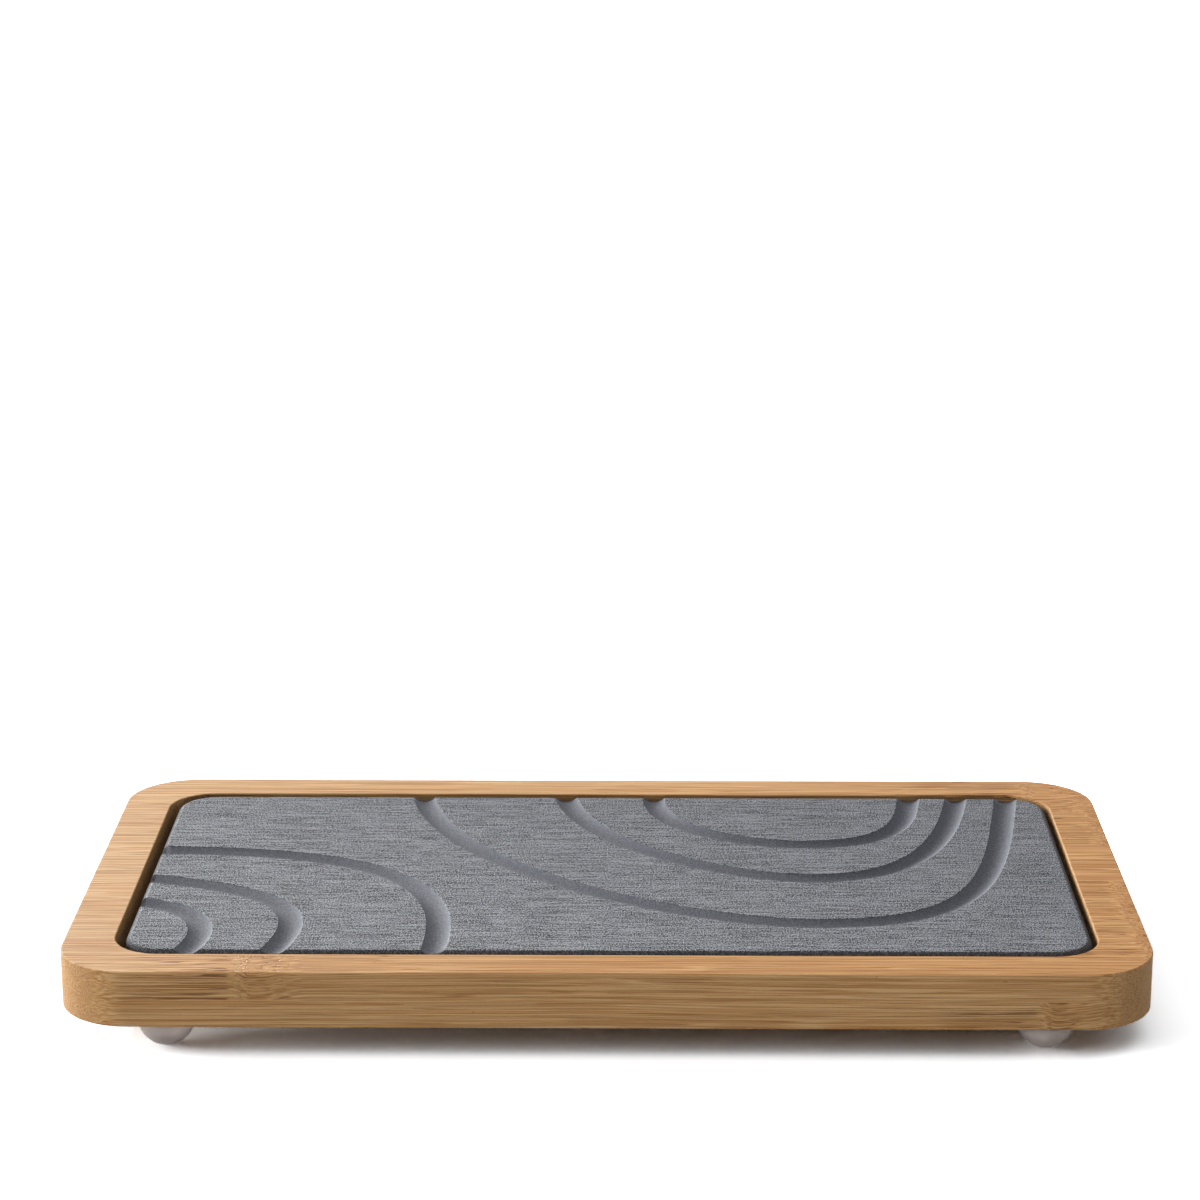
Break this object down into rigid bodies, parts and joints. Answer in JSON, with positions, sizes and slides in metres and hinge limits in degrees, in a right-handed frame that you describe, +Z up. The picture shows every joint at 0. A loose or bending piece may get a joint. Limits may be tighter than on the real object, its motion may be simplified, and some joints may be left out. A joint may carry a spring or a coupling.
{
  "type": "vanity tray",
  "caption": "Low bamboo organizer tray holding a loose drying-stone slab with rippled drain grooves, on clear domed feet; the slab lifts out for cleaning.",
  "frame": {"origin": "on the table, under the middle of the tray's outline", "axes": "+X along the tray to the right, +Y to the back, +Z up; the tray is seen from -Y"},
  "size_m": [0.25, 0.1334, 0.0202],
  "materials": {
    "bamboo": "satin",
    "drying_stone": "matte",
    "clear_rubber": "gloss",
    "adhesive": "satin"
  },
  "bodies": {
    "tray": {"base_ply": "bamboo", "rim_ply": "bamboo", "foot_front_left": "clear_rubber", "foot_front_right": "clear_rubber", "foot_back_left": "clear_rubber", "foot_back_right": "clear_rubber", "adhesive_front_left": "adhesive", "adhesive_front_right": "adhesive", "adhesive_back_left": "adhesive", "adhesive_back_right": "adhesive"},
    "slab": {"stone_slab": "drying_stone"}
  },
  "joints": [
    {"name": "slab_lift", "type": "slide", "parent": "tray", "child": "slab", "axis": [0, 0, 1], "range_m": [0, 0.04]}
  ]
}
